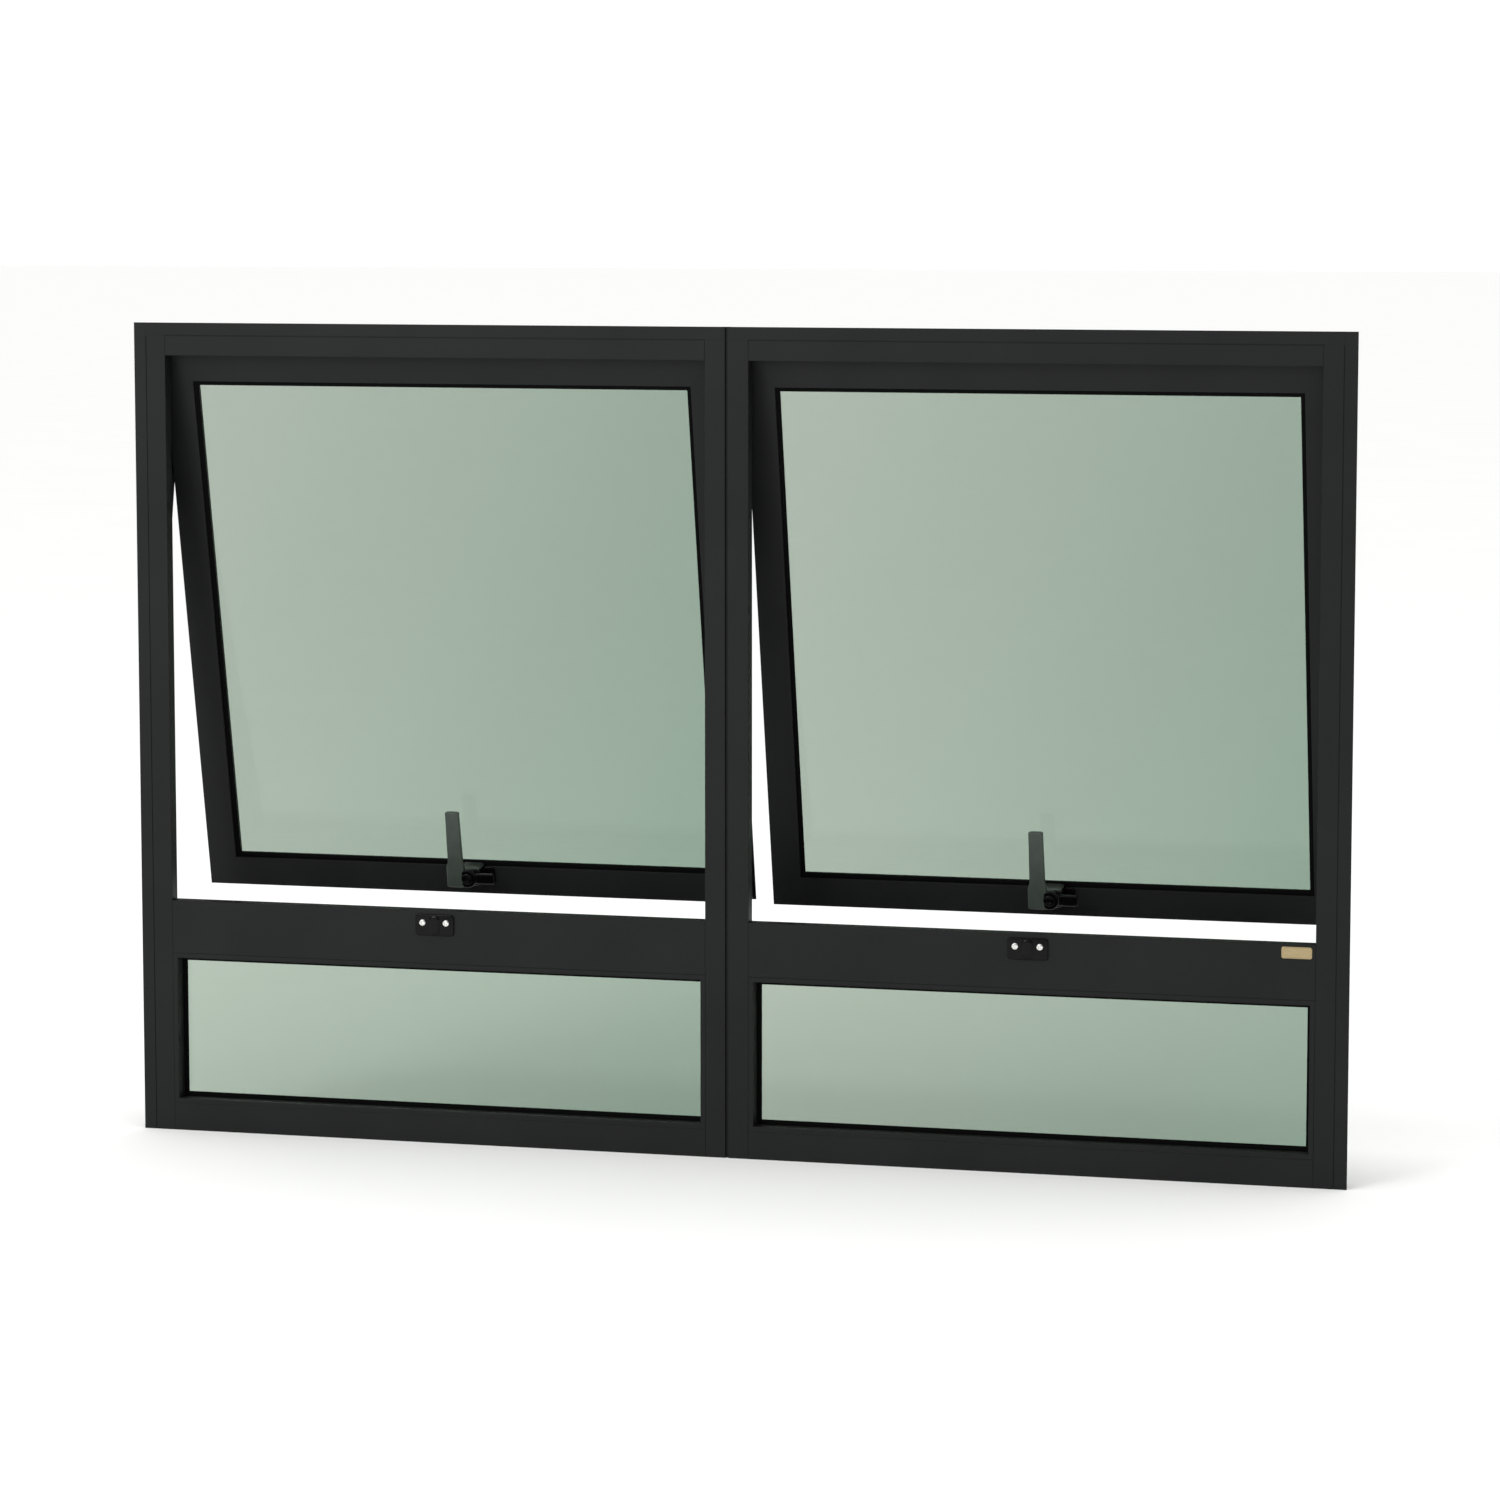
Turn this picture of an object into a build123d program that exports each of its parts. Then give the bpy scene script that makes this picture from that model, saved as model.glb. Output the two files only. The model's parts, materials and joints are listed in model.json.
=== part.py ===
from build123d import *
import os
from math import cos, radians, sin

# A double top-hung projecting window in aluminium, with a fixed light under each vent.
# X runs along the width, +Y points outdoors and +Z up. The origin is under the middle of
# the sill, halfway through the depth of the frame. Lengths are millimetres.

# Overall sizes
width = 1500.0
height = 1000.0
depth = 50.0
transom_top = 288.0          # top edge of the transom above the underside of the sill
opening_at_rest = 12.0       # degrees the sashes stand open in the modelled pose
opening_max = 45.0           # degrees the stays let a sash open

# Frame extrusions
cover_width = 15.0           # flange over the plaster, round the jambs and head
cover_thickness = 1.6
web = 2.0                    # perimeter wall of the frame
wall = 1.6                   # walls of the hollow chambers
box_face = 25.0              # width of the front chamber of jambs and head
box_depth = 18.0
sill_face = 34.0
transom_face = 66.0
platform = 14.0              # glazing platform above the underside of the sill
transom_rebate = 18.0        # rise of the glass rebate above the lower edge of the transom
transom_shelf = 24.0         # drop from the top edge of the transom to its outdoor chamber
edge_radius = 0.8
line_width = 1.2             # shadow line between the cover flange and the chambers
line_depth = 0.8

# Coupling between the two modules
joint_gap = 4.0
joint_recess = 3.0
coupling_lap = 4.0           # head of the coupling bar behind each cover flange
coupling_shares = (0.1, 0.38, 0.64, 0.9)

# Glass and glazing
glass = 4.0
fixed_bead = 6.0             # visible width of the flush indoor bead
fixed_gasket = 3.0           # gasket thickness on each face of a fixed pane
gasket_show = 5.5            # width of gasket seen beside the glass
gasket_grip = 6.0            # width of gasket hidden behind a bead or leg
outdoor_gasket_show = 3.0
block_height = 6.0           # setting blocks under a fixed pane
block_length = 60.0
pane_side_gap = 5.0
block_lap = 1.0              # setting blocks stand past each face of the glass
bead_setback = 3.0           # outdoor beads stand back from the outdoor face

# Sash extrusion
sash_face = 36.0
sash_depth = 25.0
sash_box = 24.0              # width of the hollow chamber of the sash
sash_leg = 1.8               # thickness of the indoor glazing leg
sash_gap = 4.0               # space between frame and closed sash, filled by the seal
stay_gap = 12.0              # space beside and over the sash, where the stays work
bottom_lap = 8.0             # lap of the sash behind the transom
sash_gasket = 2.8
sash_pane_gap = 4.0
key_length = 55.0
key_clearance = 0.2

# Friction stays: a fixed pivot, an arm, a bar on the sash and a sliding shoe
link = 130.0                 # fixed pivot to mid pivot, and mid pivot to shoe pivot
pivot_inset = 12.0           # stay line behind the indoor face of the sash
pivot_drop = 8.0             # shoe pivot under the top edge of the sash
track_width = 20.0
track_base = 1.2
track_side = 1.5
track_height = 4.9
track_lip = 1.0
track_slot = 12.0
shoe_length = 36.0
shoe_thickness = 2.2
shoe_boss_radius = 5.4
slide_clearance = 0.2
arm_width = 18.0
arm_thickness = 2.2
bar_width = 16.0
bar_thickness = 2.4
rivet_radius = 3.0
shoe_pin_radius = 2.5
rivet_head_radius = 4.6
rivet_head = 0.8
layer_gap = 0.3              # free space between stay layers that pass each other
pin_clearance = 0.05

# Handle and strike
handle_rise = 30.0           # handle pivot above the bottom edge of the sash
strike_width = 49.0
strike_height = 26.0
strike_thickness = 2.5
strike_corner = 4.0
strike_ramp = 1.5
strike_ramp_width = 14.0
strike_drop = 5.0            # strike plate under the top edge of the transom
strike_screw_spacing = 30.0
strike_screw_drop = 10.0     # strike screws under the top edge of the plate
handle_gap = 0.4             # tongue to strike ramp when locked
base_width = 54.0
base_height = 24.0
base_plate = 3.0
base_corner = 5.0
base_drop = 6.0              # middle of the base plate under the pivot
base_screw_drop = 11.0       # base screws under the pivot, over the chamber of the bottom rail
pedestal_width = 30.0
pedestal_height = 22.0
pedestal_corner = 6.0
lever_thickness = 6.5
lever_offset = 14.0          # arm of the lever to the left of its pivot
lever_width = 19.0
lever_root_width = 26.0
lever_root_height = 34.0
lever_root_left = 26.0       # left edge of the root beside the pivot
lever_taper = 8.0            # height over which the root narrows to the arm
lever_tail = 12.0            # lever below its pivot
lever_length = 99.0
lever_corner = 2.5
hub_radius = 12.0
tongue_length = 35.0
tongue_width = 14.0
tongue_thickness = 4.5
tongue_corner = 4.0
pivot_bolt_radius = 4.0
pivot_bolt_head_radius = 7.0
pivot_bolt_head = 1.4

# Seals, fasteners and small pieces
seal_width = 6.0
seal_inset = 4.0             # seal back from the lip of the frame
seal_clearance = 0.4
low_seal = 1.3               # seal thickness where the top of the sash sweeps past
screw_radius = 2.0
screw_head_radius = 4.3
screw_head = 1.2
screw_depth = 22.0
fixing_hole_radius = 3.0
fixing_rise = 42.0           # first jamb fixing above the transom
fixing_spacing = 240.0
head_fixing_spacing = 350.0
badge_width = 36.0
badge_height = 14.0
badge_thickness = 0.8
badge_side = 4.0
badge_drop = 3.0
weep_width = 30.0
weep_height = 7.0
weep_cap = 2.5
weep_spacing = 400.0

# Planes and lines that the pieces share, for the module on the +X side
indoor = -depth / 2
outdoor = depth / 2
box_back = indoor + box_depth
web_top = height - cover_width
web_side = width / 2 - cover_width
web_centre = joint_gap / 2
rebate = (web_centre + web, web_side - web, web_top - web)
lip = (web_centre + box_face, web_side - box_face, web_top - box_face)
transom_bottom = transom_top - transom_face
shelf = transom_top - transom_shelf
rebate_top = transom_bottom + transom_rebate
sash_indoor = box_back + sash_gap
sash_left = rebate[0] + stay_gap
sash_right = rebate[1] - stay_gap
sash_top = rebate[2] - stay_gap
sash_bottom = transom_top - bottom_lap
vent_x = (sash_left + sash_right) / 2
track_y = sash_indoor + pivot_inset
shoe_z = sash_top - pivot_drop
fixed_pivot_z = shoe_z - 2 * link
mid_pivot_z = shoe_z - link
arm_face = rebate[0] + track_height + 2 * layer_gap + rivet_head
bar_face = sash_left - bar_thickness
sash_flange = (stay_gap - track_height - 2 * layer_gap) / 2
port_size = track_y - track_width / 2 - slide_clearance - box_back


def block(x0, x1, y0, y1, z0, z1):
    """A rectangular solid between its limits."""
    return Pos((x0 + x1) / 2, (y0 + y1) / 2, (z0 + z1) / 2) * Box(x1 - x0, y1 - y0, z1 - z0)


def area(u0, u1, v0, v1):
    """A rectangle between its limits, in the plane of a section."""
    return Pos((u0 + u1) / 2, (v0 + v1) / 2) * Rectangle(u1 - u0, v1 - v0)


def chamber(u0, u1, v0, v1, thickness):
    """The section of a rectangular hollow."""
    return area(u0, u1, v0, v1) - area(u0 + thickness, u1 - thickness, v0 + thickness, v1 - thickness)


def rod_x(radius, x0, x1, y, z):
    return Pos((x0 + x1) / 2, y, z) * Rot(0, 90, 0) * Cylinder(radius, abs(x1 - x0))


def rod_y(radius, y0, y1, x, z):
    return Pos(x, (y0 + y1) / 2, z) * Rot(90, 0, 0) * Cylinder(radius, abs(y1 - y0))


def rod_z(radius, z0, z1, x, y):
    return Pos(x, y, (z0 + z1) / 2) * Cylinder(radius, abs(z1 - z0))


def run(section, start, across, length):
    """Extrude a section whose u points across the member and whose v points outdoors."""
    along = Vector(*across).cross(Vector(0, 1, 0))
    return extrude(Plane(origin=start, x_dir=across, z_dir=along) * section, amount=length)


def slab(points, y0, y1):
    """A flat plate with an outline in X and Z."""
    outline = make_face(Polyline(*points, close=True))
    return Pos(0, y1, 0) * extrude(Plane.XZ * outline, amount=y1 - y0)


def ring(x0, x1, z0, z1, rim, y0, y1):
    """A rectangular ring of one piece, measured inwards from its outer edges."""
    outer = block(x0, x1, y0, y1, z0, z1)
    return outer - block(x0 + rim, x1 - rim, y0 - 1, y1 + 1, z0 + rim, z1 - rim)


def mitred(section, x0, x1, z0, z1):
    """Bottom, top, centre and side members of one section, mitred round a rectangle."""
    low = section.bounding_box().min.X
    high = section.bounding_box().max.X
    y0 = indoor - depth
    y1 = outdoor + depth
    outer, inner = (
        [(x0 + u, z0 + u), (x1 - u, z0 + u), (x1 - u, z1 - u), (x0 + u, z1 - u)]
        for u in (low, high)
    )
    across = x1 - x0 - 2 * low
    upright = z1 - z0 - 2 * low
    members = [
        run(section, (x1 - low, 0, z0), (0, 0, 1), across),
        run(section, (x0 + low, 0, z1), (0, 0, -1), across),
        run(section, (x0, 0, z0 + low), (1, 0, 0), upright),
        run(section, (x1, 0, z1 - low), (-1, 0, 0), upright),
    ]
    corners = [(0, 1), (2, 3), (3, 0), (1, 2)]
    return [
        member & slab([outer[a], outer[b], inner[b], inner[a]], y0, y1)
        for member, (a, b) in zip(members, corners)
    ]


def across_vent(shape):
    """A piece beside the centre jamb and its mirror image beside the outer jamb."""
    return [shape, mirror(shape, Plane.YZ.offset(vent_x))]


def shoe_drop(opening):
    """How far the stays let the shoe down from closed to an opening in degrees."""
    return 2 * link * (1 - cos(radians(opening)))


def opened(shape):
    """Move a piece of the closed sash to the modelled opening."""
    turned = Rot(opening_at_rest, 0, 0) * Pos(0, -track_y, -shoe_z) * shape
    return Pos(0, track_y, shoe_z - shoe_drop(opening_at_rest)) * turned


def swung(shape):
    """Move a closed stay arm to the modelled opening."""
    turned = Rot(-opening_at_rest, 0, 0) * Pos(0, -track_y, -fixed_pivot_z) * shape
    return Pos(0, track_y, fixed_pivot_z) * turned


def slid(shape):
    """Move a stay shoe from closed to the modelled opening."""
    return Pos(0, 0, -shoe_drop(opening_at_rest)) * shape


nodes = {}


def modules(name, pieces):
    """Keep the pieces of the +X module and their mirror images, in a node for each side."""
    nodes["right_" + name] = pieces
    nodes["left_" + name] = [mirror(piece, Plane.YZ) for piece in pieces]


def shared(name, pieces):
    """Keep like pieces of both modules in one node."""
    nodes[name] = pieces + [mirror(piece, Plane.YZ) for piece in pieces]


# Frame: uprights run through, and the cross members are coped between them

def upright_section():
    """Front chamber and perimeter web, from the outer face of the web inwards."""
    tube = area(0, box_face, indoor, box_back)
    lip_edges = tube.vertices().group_by(Axis.X)[-1]
    tube = fillet(lip_edges, edge_radius)
    tube -= area(web, box_face - wall, indoor + wall, box_back - wall)
    return tube + area(0, web, indoor, outdoor)


def screw_port(u, v):
    """Square boss with the bore that an assembly screw bites in."""
    half = port_size / 2
    return area(u - half, u + half, v - half, v + half) - Pos(u, v) * Circle(screw_radius + pin_clearance)


centre_jamb = run(upright_section(), (web_centre, 0, 0), (1, 0, 0), web_top)
outer_jamb = run(upright_section(), (web_side, 0, web_top), (-1, 0, 0), web_top)
outer_jamb += block(web_side, width / 2, indoor, indoor + cover_thickness, 0, height)
outer_jamb -= block(web_side - line_width, web_side, indoor, indoor + line_depth, 0, web_top - line_width)

head_port = (web + port_size / 2, box_back + port_size / 2)
head_back = area(0, web, box_back, outdoor) + screw_port(*head_port)
head = run(head_back, (rebate[0], 0, web_top), (0, 0, -1), rebate[1] - rebate[0])
head_front = upright_section() & area(0, box_face, indoor, box_back)
head += run(head_front, (lip[0], 0, web_top), (0, 0, -1), lip[1] - lip[0])
head += block(web_centre, web_side, indoor, indoor + cover_thickness, web_top, height)
head -= block(lip[0], lip[1], indoor, indoor + line_depth, web_top - line_width, web_top)

sill_port = (platform / 2, outdoor - wall - port_size)
sill_front = area(0, sill_face, indoor, box_back)
sill_front = fillet(sill_front.vertices().group_by(Axis.X)[-1], edge_radius)
sill_front -= area(web, sill_face - wall, indoor + wall, box_back - wall)
sill_back = chamber(0, platform, box_back, outdoor, web) + screw_port(*sill_port)
sill_back += area(
    platform / 2 - web / 2, platform / 2 + web / 2, sill_port[1] + port_size / 2, outdoor - web
)
sill = run(sill_front, (lip[1], 0, 0), (0, 0, 1), lip[1] - lip[0])
sill += run(sill_back, (rebate[1], 0, 0), (0, 0, 1), rebate[1] - rebate[0])

transom_port = ((rebate_top + shelf) / 2 - transom_bottom, (box_back + outdoor) / 2)
transom_front = area(0, transom_face, indoor, box_back)
transom_front = fillet(transom_front.vertices(), edge_radius)
transom_front -= area(wall, transom_face - wall, indoor + wall, box_back - wall)
transom_back = chamber(transom_rebate, shelf - transom_bottom, box_back, outdoor, wall)
transom_back += screw_port(*transom_port)
transom_back += area(
    transom_port[0] - wall / 2, transom_port[0] + wall / 2, box_back + wall, transom_port[1] - port_size / 2
)
transom = run(transom_front, (lip[1], 0, transom_bottom), (0, 0, 1), lip[1] - lip[0])
transom += run(transom_back, (rebate[1], 0, transom_bottom), (0, 0, 1), rebate[1] - rebate[0])

# Assembly screws go through the webs of the uprights into the ports, with flush heads
port_lines = [
    (head_port[1], web_top - head_port[0]),
    (sill_port[1], sill_port[0]),
    (transom_port[1], transom_bottom + transom_port[0]),
]
assembly_screws = []
for port_y, port_z in port_lines:
    for outside, inwards in ((web_centre, 1), (web_side, -1)):
        seat = outside + inwards * screw_head
        bore = rod_x(screw_radius + pin_clearance, outside, outside + inwards * web, port_y, port_z)
        bore += rod_x(screw_head_radius, outside, seat, port_y, port_z)
        if inwards > 0:
            centre_jamb -= bore
        else:
            outer_jamb -= bore
        screw = rod_x(screw_head_radius, outside, seat, port_y, port_z)
        screw += rod_x(screw_radius, seat, outside + inwards * screw_depth, port_y, port_z)
        assembly_screws.append(screw)
shared("assembly_screws", assembly_screws)

# Coupling bar between the modules, recessed from the indoor face, with flush screws
bar_front = indoor + joint_recess
bar = block(-web_centre, web_centre, bar_front, outdoor, 0, web_top)
bar += block(-web_centre, web_centre, bar_front, bar_front + web, web_top, height)
bar_side = web_centre + coupling_lap
bar += block(-bar_side, bar_side, bar_front, bar_front + web, web_top + slide_clearance, height)
coupling_y = (track_y + track_width / 2 + outdoor) / 2
coupling_screws = []
coupling_seat = rebate[0] - screw_head
for share in coupling_shares:
    coupling_z = share * height
    coupling_head = rod_x(screw_head_radius, coupling_seat, rebate[0], coupling_y, coupling_z)
    shank = rod_x(screw_radius, -rebate[0], coupling_seat, coupling_y, coupling_z)
    coupling_screws.append(shank + coupling_head)
    hole = rod_x(screw_radius + pin_clearance, -rebate[0], rebate[0], coupling_y, coupling_z)
    bar -= hole
    centre_jamb -= hole + coupling_head
nodes["coupling_bar"] = [bar]
nodes["coupling_screws"] = coupling_screws

# Holes for the screws that hold the frame in the wall
for step in (0, 1):
    fixing_z = transom_top + fixing_rise + step * fixing_spacing
    outer_jamb -= rod_x(fixing_hole_radius, web_side - web, web_side, track_y, fixing_z)
    fixing_x = vent_x + (step - 0.5) * head_fixing_spacing
    head -= rod_z(fixing_hole_radius, web_top - web, web_top, fixing_x, track_y)

# Weep slots through the outdoor wall of the sill, and their caps
weep_z = platform / 2
weep_end = weep_height / 2
weep_face = outdoor + weep_cap
weep_caps = []
for step in (-0.5, 0.5):
    weep_x = vent_x + step * weep_spacing
    low = weep_x - weep_width / 2 + weep_end
    high = weep_x + weep_width / 2 - weep_end
    cap = block(low, high, outdoor, weep_face, weep_z - weep_end, weep_z + weep_end)
    for end in (low, high):
        cap += rod_y(weep_end, outdoor, weep_face, end, weep_z)
    slot = block(low, high, outdoor - web, outdoor + weep_cap / 2, weep_z - web, weep_z + web)
    cap -= slot
    sill -= slot
    weep_caps.append(cap)
shared("weep_caps", weep_caps)

# Strike plates and their screws, on the indoor face of each transom
strike_top = transom_top - strike_drop
strike_face = indoor - strike_thickness
strike_bottom = strike_top - strike_height
plate_reach = strike_width / 2
ramp_reach = strike_ramp_width / 2
strike = block(
    vent_x - plate_reach, vent_x + plate_reach, strike_face, indoor, strike_bottom, strike_top
)
strike = fillet(strike.edges().filter_by(Axis.Y), strike_corner)
strike += block(
    vent_x - ramp_reach, vent_x + ramp_reach, strike_face - strike_ramp, strike_face,
    strike_bottom, strike_top
)
strike_screws = []
for step in (-0.5, 0.5):
    x = vent_x + step * strike_screw_spacing
    z = strike_top - strike_screw_drop
    hole = rod_y(screw_radius + pin_clearance, strike_face, indoor + wall, x, z)
    strike -= hole
    transom -= hole
    screw = rod_y(screw_head_radius, strike_face - 2 * screw_head, strike_face, x, z)
    screw = fillet(screw.edges().sort_by(Axis.Y)[0], screw_head)
    strike_screws.append(screw + rod_y(screw_radius, strike_face, indoor + box_depth / 2, x, z))
shared("strike_plates", [strike])
shared("strike_screws", strike_screws)

nodes["badge"] = [
    block(
        lip[1] - badge_side - badge_width, lip[1] - badge_side, indoor - badge_thickness, indoor,
        transom_top - badge_drop - badge_height, transom_top - badge_drop
    )
]

modules("head", [head])
modules("sill", [sill])
modules("transom", [transom])

# Fixed light: a pane on setting blocks between gaskets, a flush indoor bead and an outdoor bead
pane_indoor = box_back + fixed_gasket
pane_outdoor = pane_indoor + glass
modules("fixed_glass", [
    block(
        rebate[0] + pane_side_gap, rebate[1] - pane_side_gap, pane_indoor, pane_outdoor,
        platform + block_height, rebate_top - block_height
    )
])
bead_section = area(0, fixed_bead, indoor, box_back)
bead_section = fillet(bead_section.vertices().sort_by(Axis.Y)[:2].sort_by(Axis.X)[-1:], edge_radius)
bead_section -= area(wall, fixed_bead - wall, indoor + wall, box_back)
shared("fixed_inner_beads", mitred(bead_section, lip[0], lip[1], sill_face, transom_bottom))
shared("fixed_inner_gaskets", [
    ring(lip[0], lip[1], sill_face, transom_bottom, fixed_bead + gasket_show, box_back, pane_indoor)
])
outer_bead_indoor = pane_outdoor + fixed_gasket
shared("fixed_outer_gaskets", [
    ring(
        lip[0] - gasket_grip, lip[1] + gasket_grip, sill_face - gasket_grip, transom_bottom + gasket_grip,
        gasket_grip + outdoor_gasket_show, pane_outdoor, outer_bead_indoor
    )
])
outer_beads = []
for low, high in ((platform, sill_face), (transom_bottom, rebate_top)):
    section = chamber(low, high, outer_bead_indoor, outdoor - bead_setback, wall)
    outer_beads.append(run(section, (rebate[1], 0, 0), (0, 0, 1), rebate[1] - rebate[0]))
for low, high in ((rebate[0], lip[0]), (lip[1], rebate[1])):
    section = chamber(low, high, outer_bead_indoor, outdoor - bead_setback, wall)
    outer_beads.append(run(section, (0, 0, sill_face), (1, 0, 0), transom_bottom - sill_face))
shared("fixed_outer_beads", outer_beads)
shared("setting_blocks", [
    block(
        x - block_length / 2, x + block_length / 2, pane_indoor - block_lap, pane_outdoor + block_lap,
        platform, platform + block_height
    )
    for x in (vent_x - weep_spacing / 2, vent_x + weep_spacing / 2)
])

# Vent seal on the back of the front chambers, low where the head of the sash sweeps past it
sweep_end = shoe_z - shoe_drop(opening_max) - pivot_inset * sin(radians(opening_max))
seal_split = sweep_end - pivot_inset / 2
seal_left = lip[0] - seal_inset - seal_width
seal_right = lip[1] + seal_inset + seal_width
seal_low = sash_bottom + seal_clearance
seal_high = lip[2] + seal_inset + seal_width
seal_front = sash_indoor - seal_clearance
seal = ring(seal_left, seal_right, seal_low, seal_high, seal_width, box_back, seal_front)
seal -= block(seal_left, seal_right, box_back + low_seal, seal_front, seal_split, seal_high)
shared("vent_seals", [seal])

# Sashes: mitred hollow members on corner keys, glazed with an outdoor bead
sash_outdoor = sash_indoor + sash_depth
sash_section = area(0, sash_face, sash_indoor, sash_indoor + sash_leg)
leg_edge = sash_section.vertices().sort_by(Axis.Y)[:2].sort_by(Axis.X)[-1:]
sash_section = fillet(leg_edge, edge_radius)
sash_section += area(0, sash_box, sash_indoor, sash_outdoor)
sash_section -= area(wall, sash_box - wall, sash_indoor + sash_leg, sash_outdoor - wall)
sash_section += area(-sash_flange, 0, sash_outdoor - wall, sash_outdoor)
bottom_rail, top_rail, centre_stile, outer_stile = mitred(
    sash_section, sash_left, sash_right, sash_bottom, sash_top
)
pane_in = sash_indoor + sash_leg + sash_gasket
pane_out = pane_in + glass
pane_rim = sash_box + sash_pane_gap
modules("sash_glass", [
    opened(block(
        sash_left + pane_rim, sash_right - pane_rim, pane_in, pane_out,
        sash_bottom + pane_rim, sash_top - pane_rim
    ))
])
leg_back = sash_face - gasket_grip
inner_gasket = ring(
    sash_left + leg_back, sash_right - leg_back, sash_bottom + leg_back, sash_top - leg_back,
    gasket_grip + gasket_show, sash_indoor + sash_leg, pane_in
)
outer_gasket = ring(
    sash_left + leg_back, sash_right - leg_back, sash_bottom + leg_back, sash_top - leg_back,
    gasket_grip + outdoor_gasket_show, pane_out, pane_out + sash_gasket
)
modules("sash_gaskets", [opened(inner_gasket), opened(outer_gasket)])
sash_bead = chamber(sash_box, sash_face, pane_out + sash_gasket, sash_outdoor, wall)
modules("sash_beads", [
    opened(bead) for bead in mitred(sash_bead, sash_left, sash_right, sash_bottom, sash_top)
])
modules("sash_setting_blocks", [
    opened(block(
        x - block_length / 2, x + block_length / 2, pane_in, pane_out,
        sash_bottom + sash_box, sash_bottom + pane_rim
    ))
    for x in (vent_x - weep_spacing / 2, vent_x + weep_spacing / 2)
])
key_low = wall + key_clearance
key_high = sash_box - wall - key_clearance
key_y = (sash_indoor + sash_leg + key_clearance, sash_outdoor - wall - key_clearance)
keys = []
for corner_x, dx in ((sash_left, 1), (sash_right, -1)):
    for corner_z, dz in ((sash_bottom, 1), (sash_top, -1)):
        reach = [(key_low, key_low), (key_length, key_low), (key_length, key_high), (key_high, key_high),
                 (key_high, key_length), (key_low, key_length)]
        outline = [(corner_x + dx * u, corner_z + dz * v) for u, v in reach]
        keys.append(opened(slab(outline, *key_y)))
modules("sash_corner_keys", keys)

# Stay tracks: lipped channels on the webs, with their fixed pivots and screws
track_start = rebate[0]
track_end = track_start + track_height
track_bottom = fixed_pivot_z - track_width
track_top = rebate[2] - slide_clearance
half = track_width / 2
track_section = area(track_start, track_end, track_y - half, track_y + half)
inner_half = half - track_side
track_section -= area(track_start + track_base, track_end, track_y - inner_half, track_y + inner_half)
for flank in (-1, 1):
    lip_edge = sorted((track_y + flank * track_slot / 2, track_y + flank * inner_half))
    track_section += area(track_end - track_lip, track_end, *lip_edge)
track = run(track_section, (0, 0, track_bottom), (1, 0, 0), track_top - track_bottom)
track_floor = track_start + track_base
pivot = rod_x(shoe_boss_radius, track_floor, arm_face - layer_gap, track_y, fixed_pivot_z)
pivot_end = arm_face + arm_thickness + layer_gap
pivot += rod_x(rivet_radius, arm_face - layer_gap, pivot_end, track_y, fixed_pivot_z)
pivot += rod_x(rivet_head_radius, pivot_end, pivot_end + rivet_head, track_y, fixed_pivot_z)
shoe_lowest = shoe_z - shoe_drop(opening_max) - shoe_length / 2
track_screws = []
for step in (1, 2, 3):
    screw_z = fixed_pivot_z + step * (shoe_lowest - fixed_pivot_z) / 4
    hole = rod_x(screw_radius + pin_clearance, web_centre, track_floor, track_y, screw_z)
    track -= hole
    centre_hole, outer_hole = across_vent(hole)
    centre_jamb -= centre_hole
    outer_jamb -= outer_hole
    screw = rod_x(screw_radius, web_centre, track_floor, track_y, screw_z)
    screw += rod_x(screw_head_radius, track_floor, track_floor + screw_head, track_y, screw_z)
    track_screws.append(screw)
modules("centre_jamb", [centre_jamb])
modules("outer_jamb", [outer_jamb])
shared("stay_tracks", across_vent(track))
shared("track_pivots", across_vent(pivot))
shared("track_screws", [piece for screw in track_screws for piece in across_vent(screw)])


def strap(x0, x1, low, high, breadth, holes):
    """A flat bar on the stay line with round ends about its end heights, and round holes."""
    radius = breadth / 2
    bar = block(x0, x1, track_y - radius, track_y + radius, low, high)
    for end in (low, high):
        bar += rod_x(radius, x0, x1, track_y, end)
    for hole_z, hole_radius in holes:
        bar -= rod_x(hole_radius, x0, x1, track_y, hole_z)
    return bar


arm = strap(
    arm_face, arm_face + arm_thickness, fixed_pivot_z, mid_pivot_z, arm_width,
    [(fixed_pivot_z, rivet_radius + pin_clearance), (mid_pivot_z, rivet_radius + pin_clearance)]
)
modules("stay_arms", [swung(piece) for piece in across_vent(arm)])

bar_top = shoe_z - bar_width / 2 + pivot_drop - slide_clearance
sash_bar = strap(bar_face, sash_left, mid_pivot_z - bar_width, bar_top, bar_width, [])
sash_bar -= rod_x(shoe_pin_radius, bar_face, sash_left, track_y, shoe_z)
sash_bar -= rod_x(rivet_radius, bar_face, sash_left, track_y, mid_pivot_z)
modules("stay_bars", [opened(piece) for piece in across_vent(sash_bar)])

mid_rivet = rod_x(rivet_radius, arm_face - layer_gap, sash_left, track_y, mid_pivot_z)
mid_rivet += rod_x(
    rivet_head_radius, arm_face - layer_gap - rivet_head, arm_face - layer_gap, track_y, mid_pivot_z
)
shoe_floor = track_floor + slide_clearance
shoe_pin = rod_x(shoe_pin_radius, shoe_floor + slide_clearance, sash_left, track_y, shoe_z)
modules("stay_pins", [opened(piece) for pin in (mid_rivet, shoe_pin) for piece in across_vent(pin)])

shoe_half = inner_half - slide_clearance
shoe = block(
    shoe_floor, shoe_floor + shoe_thickness, track_y - shoe_half, track_y + shoe_half,
    shoe_z - shoe_length / 2, shoe_z + shoe_length / 2
)
shoe += rod_x(shoe_boss_radius, shoe_floor, bar_face - layer_gap, track_y, shoe_z)
shoe -= rod_x(shoe_pin_radius + pin_clearance, shoe_floor, bar_face, track_y, shoe_z)
modules("stay_shoes", [slid(piece) for piece in across_vent(shoe)])

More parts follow.
